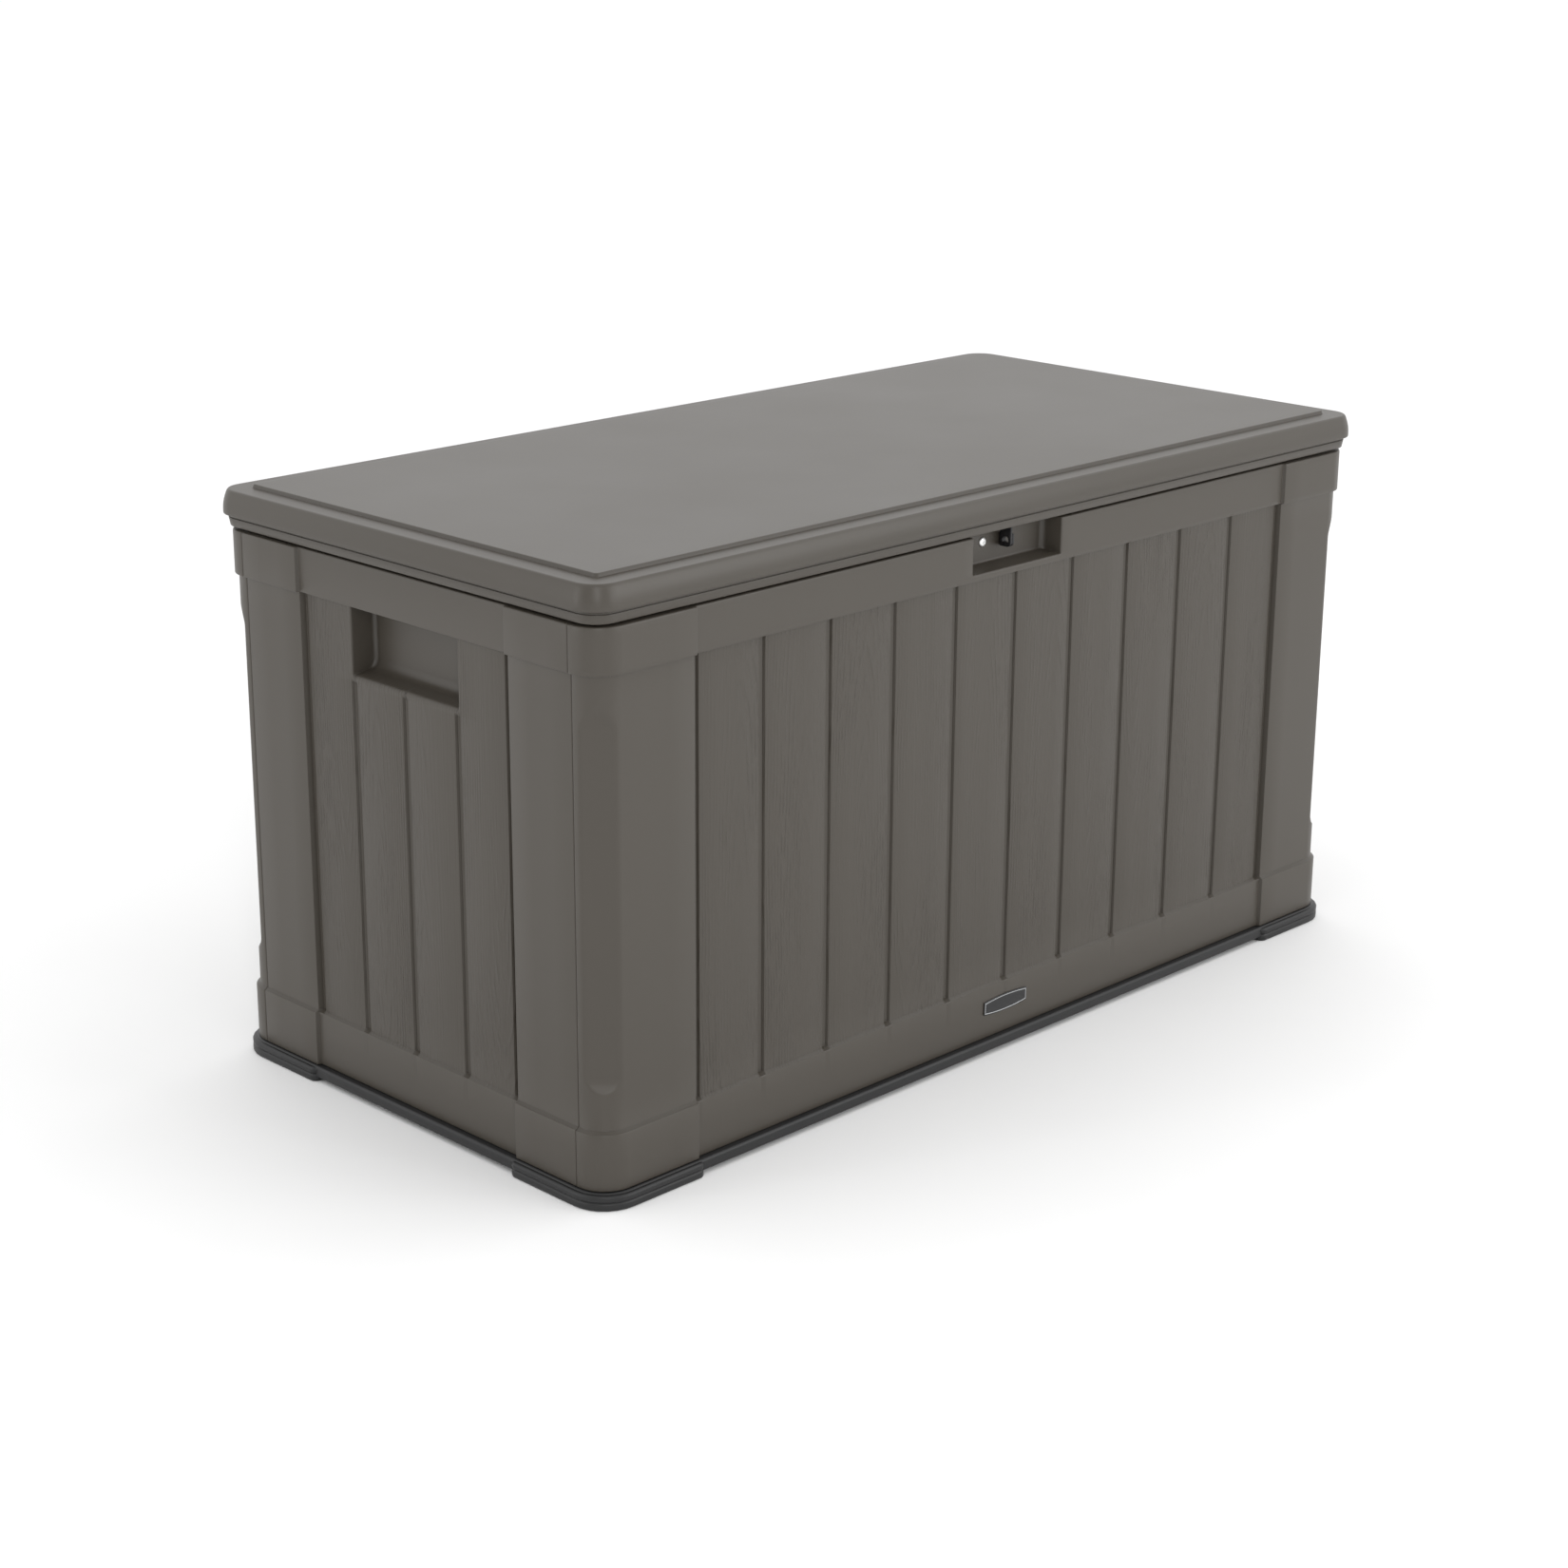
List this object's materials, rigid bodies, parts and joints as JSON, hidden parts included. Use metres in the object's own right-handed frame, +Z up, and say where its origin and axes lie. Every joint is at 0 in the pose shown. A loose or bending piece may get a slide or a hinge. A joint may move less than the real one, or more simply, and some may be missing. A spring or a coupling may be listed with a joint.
{
  "type": "deck storage box",
  "caption": "Long outdoor storage box with moulded plank walls on a black base and a hinged lid held open by gas struts; a lug and a tab take a padlock.",
  "frame": {"origin": "on the ground under the middle of the box", "axes": "+X to the right along the front, +Y from the front to the back where the lid is hinged, +Z up"},
  "size_m": [1.285, 0.638, 0.671],
  "materials": {
    "taupe_resin": "satin moulded resin with an embossed vertical wood grain on the planks",
    "black_resin": "fine textured black resin",
    "zinc_plated_steel": "zinc plated",
    "black_steel": "black powder coat",
    "black_tube": "gloss black paint",
    "polished_rod": "hard chrome",
    "badge": "blank black badge with a pale printed border line"
  },
  "bodies": {
    "box": {"back_panel": "taupe_resin", "badge_plate": "badge", "base_screw_back_left": "zinc_plated_steel", "base_screw_back_right": "zinc_plated_steel", "base_screw_front_left": "zinc_plated_steel", "base_screw_front_right": "zinc_plated_steel", "base_tray": "black_resin", "corner_screw_back_left_lower": "zinc_plated_steel", "corner_screw_back_left_upper": "zinc_plated_steel", "corner_screw_back_right_lower": "zinc_plated_steel", "corner_screw_back_right_upper": "zinc_plated_steel", "corner_screw_front_left_lower": "zinc_plated_steel", "corner_screw_front_left_upper": "zinc_plated_steel", "corner_screw_front_right_lower": "zinc_plated_steel", "corner_screw_front_right_upper": "zinc_plated_steel", "front_panel": "taupe_resin", "hinge_left_pin": "zinc_plated_steel", "hinge_left_wall_leaf": "zinc_plated_steel", "hinge_left_wall_screw_left": "zinc_plated_steel", "hinge_left_wall_screw_right": "zinc_plated_steel", "hinge_middle_pin": "zinc_plated_steel", "hinge_middle_wall_leaf": "zinc_plated_steel", "hinge_middle_wall_screw_left": "zinc_plated_steel", "hinge_middle_wall_screw_right": "zinc_plated_steel", "hinge_right_pin": "zinc_plated_steel", "hinge_right_wall_leaf": "zinc_plated_steel", "hinge_right_wall_screw_left": "zinc_plated_steel", "hinge_right_wall_screw_right": "zinc_plated_steel", "left_end_panel": "taupe_resin", "lock_plate": "black_steel", "lock_plate_screw": "zinc_plated_steel", "right_end_panel": "taupe_resin", "strut_left_wall_bracket": "black_steel", "strut_left_wall_screw_lower": "zinc_plated_steel", "strut_left_wall_screw_upper": "zinc_plated_steel", "strut_right_wall_bracket": "black_steel", "strut_right_wall_screw_lower": "zinc_plated_steel", "strut_right_wall_screw_upper": "zinc_plated_steel"},
    "lid": {"hinge_left_lid_leaf": "zinc_plated_steel", "hinge_left_lid_screw_left": "zinc_plated_steel", "hinge_left_lid_screw_right": "zinc_plated_steel", "hinge_middle_lid_leaf": "zinc_plated_steel", "hinge_middle_lid_screw_left": "zinc_plated_steel", "hinge_middle_lid_screw_right": "zinc_plated_steel", "hinge_right_lid_leaf": "zinc_plated_steel", "hinge_right_lid_screw_left": "zinc_plated_steel", "hinge_right_lid_screw_right": "zinc_plated_steel", "lid": "taupe_resin", "lid_tab": "black_steel", "lid_tab_screw": "zinc_plated_steel", "strut_left_lid_bracket": "black_steel", "strut_left_lid_screw": "zinc_plated_steel", "strut_right_lid_bracket": "black_steel", "strut_right_lid_screw": "zinc_plated_steel"},
    "strut_left_tube": {"strut_left_tube": "black_tube"},
    "strut_left_rod": {"strut_left_rod": "polished_rod"},
    "strut_right_tube": {"strut_right_tube": "black_tube"},
    "strut_right_rod": {"strut_right_rod": "polished_rod"}
  },
  "joints": [
    {"name": "lid_hinge", "type": "hinge", "parent": "box", "child": "lid", "pos_m": [0, 0.3132, 0.62435], "axis": [-1, 0, 0], "range_deg": [0, 90]},
    {"name": "strut_left_pivot", "type": "hinge", "parent": "box", "child": "strut_left_tube", "pos_m": [-0.574, 0.1102, 0.33035], "axis": [-1, 0, 0], "range_deg": [0, 10.6]},
    {"name": "strut_left_slide", "type": "slide", "parent": "strut_left_tube", "child": "strut_left_rod", "axis": [0, 0.221, 0.9753], "range_m": [0, 0.188]},
    {"name": "strut_right_pivot", "type": "hinge", "parent": "box", "child": "strut_right_tube", "pos_m": [0.574, 0.1102, 0.33035], "axis": [-1, 0, 0], "range_deg": [0, 10.6]},
    {"name": "strut_right_slide", "type": "slide", "parent": "strut_right_tube", "child": "strut_right_rod", "axis": [0, 0.221, 0.9753], "range_m": [0, 0.188]}
  ],
  "couplings": [
    {"joint": "strut_left_pivot", "follows": "lid_hinge", "ratio": 0.11713},
    {"joint": "strut_left_slide", "follows": "lid_hinge", "m_per_rad": 0.11938},
    {"joint": "strut_right_pivot", "follows": "lid_hinge", "ratio": 0.11713},
    {"joint": "strut_right_slide", "follows": "lid_hinge", "m_per_rad": 0.11938}
  ]
}
